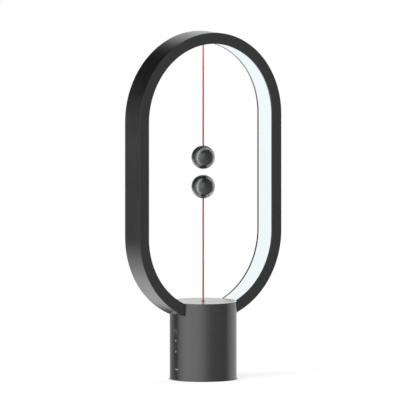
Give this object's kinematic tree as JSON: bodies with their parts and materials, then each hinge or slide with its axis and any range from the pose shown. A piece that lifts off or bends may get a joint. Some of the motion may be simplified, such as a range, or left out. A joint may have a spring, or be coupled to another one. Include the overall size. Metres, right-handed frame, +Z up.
{
  "type": "magnetic balance lamp",
  "caption": "Desk lamp with a lit upright ring on a round base and two magnetic balls on cords; lifting the lower ball pulls the switch.",
  "frame": {"origin": "centre of the base's underside", "axes": "+Z up; the ring lies in the X-Z plane, its front face looks along -Y; the power inlet is on the -X side of the base"},
  "size_m": [0.1982, 0.077, 0.4],
  "materials": {
    "base_paint": "satin, fine grain",
    "frame_paint": "satin, fine grain",
    "black_plastic": "moulded",
    "grey_plastic": "moulded",
    "white_plastic": "moulded",
    "foot_rubber": "matt",
    "ballast": "as cast",
    "steel": "zinc plated",
    "pale_print": "printed",
    "diffuser": "lit, satin",
    "strip_board": "satin",
    "led_chip": "lit",
    "eyelet": "moulded",
    "red_cord": "braided",
    "brass": "plain",
    "ball_gloss": "polished",
    "magnet": "nickel plated",
    "button_red": "moulded",
    "circuit_board": "lacquered",
    "component_black": "moulded",
    "wire_red": "insulated"
  },
  "bodies": {
    "lamp": {"base_shell": "base_paint", "top_plate": "base_paint", "bottom_cover": "black_plastic", "foot_ring": "foot_rubber", "ballast_weight": "ballast", "cover_screws": "steel", "frame_deck": "black_plastic", "deck_screws": "steel", "side_marks": "pale_print", "frame_front": "frame_paint", "frame_rear_cover": "frame_paint", "frame_end_blocks": "grey_plastic", "frame_end_screws": "steel", "diffuser": "diffuser", "led_strip": "strip_board", "led_chips": "led_chip", "upper_cord_eyelet": "eyelet", "upper_cord_knot": "red_cord", "lower_cord_guide": "base_paint", "return_spring": "steel", "spring_cap": "black_plastic", "switch_housing": "grey_plastic", "housing_screws": "steel", "microswitch_case": "black_plastic", "microswitch_terminals": "steel", "microswitch_screws": "steel", "lever_pin": "steel", "driver_board": "circuit_board", "board_parts": "component_black", "board_screws": "steel", "usb_socket_shell": "steel", "usb_socket_tongue": "white_plastic", "led_wire_red": "wire_red", "led_wire_black": "component_black", "switch_wires": "white_plastic"},
    "upper_bend": {"upper_cord_bend": "red_cord"},
    "upper_pendulum": {"upper_cord": "red_cord", "upper_cord_stop": "brass", "upper_ball_top_half": "ball_gloss", "upper_ball_bottom_half": "ball_gloss", "upper_magnet": "magnet"},
    "plunger": {"switch_plunger": "white_plastic", "lower_cord_knot": "red_cord"},
    "lower_bend": {"lower_cord_bend": "red_cord"},
    "lower_pendulum": {"lower_cord": "red_cord", "lower_cord_stop": "brass", "lower_ball_top_half": "ball_gloss", "lower_ball_bottom_half": "ball_gloss", "lower_magnet": "magnet"},
    "lever": {"microswitch_lever": "steel"},
    "button": {"microswitch_button": "button_red"}
  },
  "joints": [
    {"name": "upper_ball_swing", "type": "hinge", "parent": "lamp", "child": "upper_bend", "pos_m": [0, 0, 0.386], "axis": [1, 0, 0], "range_deg": [-60, 60]},
    {"name": "upper_ball_sway", "type": "hinge", "parent": "upper_bend", "child": "upper_pendulum", "pos_m": [0, 0, 0.386], "axis": [0, 1, 0], "range_deg": [-30, 30]},
    {"name": "switch_pull", "type": "slide", "parent": "lamp", "child": "plunger", "axis": [0, 0, 1], "range_m": [-0.002, 0], "stiffness_N_per_m": 20, "springref_m": 0.03, "deforming": ["return_spring"]},
    {"name": "lower_ball_swing", "type": "hinge", "parent": "plunger", "child": "lower_bend", "pos_m": [0, 0, 0.0928], "axis": [1, 0, 0], "range_deg": [-60, 60], "stiffness_Nm_per_rad": 0.06},
    {"name": "lower_ball_sway", "type": "hinge", "parent": "lower_bend", "child": "lower_pendulum", "pos_m": [0, 0, 0.0928], "axis": [0, 1, 0], "range_deg": [-30, 30], "stiffness_Nm_per_rad": 0.06},
    {"name": "lever_turn", "type": "hinge", "parent": "lamp", "child": "lever", "pos_m": [-0.0134, 0.0124, 0.07425], "axis": [0, 1, 0], "range_deg": [0, 8.1]},
    {"name": "button_travel", "type": "slide", "parent": "lamp", "child": "button", "axis": [0, 0, 1], "range_m": [-0.0005, 0]}
  ],
  "couplings": [
    {"joint": "lever_turn", "follows": "switch_pull", "rad_per_m": -70},
    {"joint": "button_travel", "follows": "switch_pull", "ratio": 0.25}
  ]
}
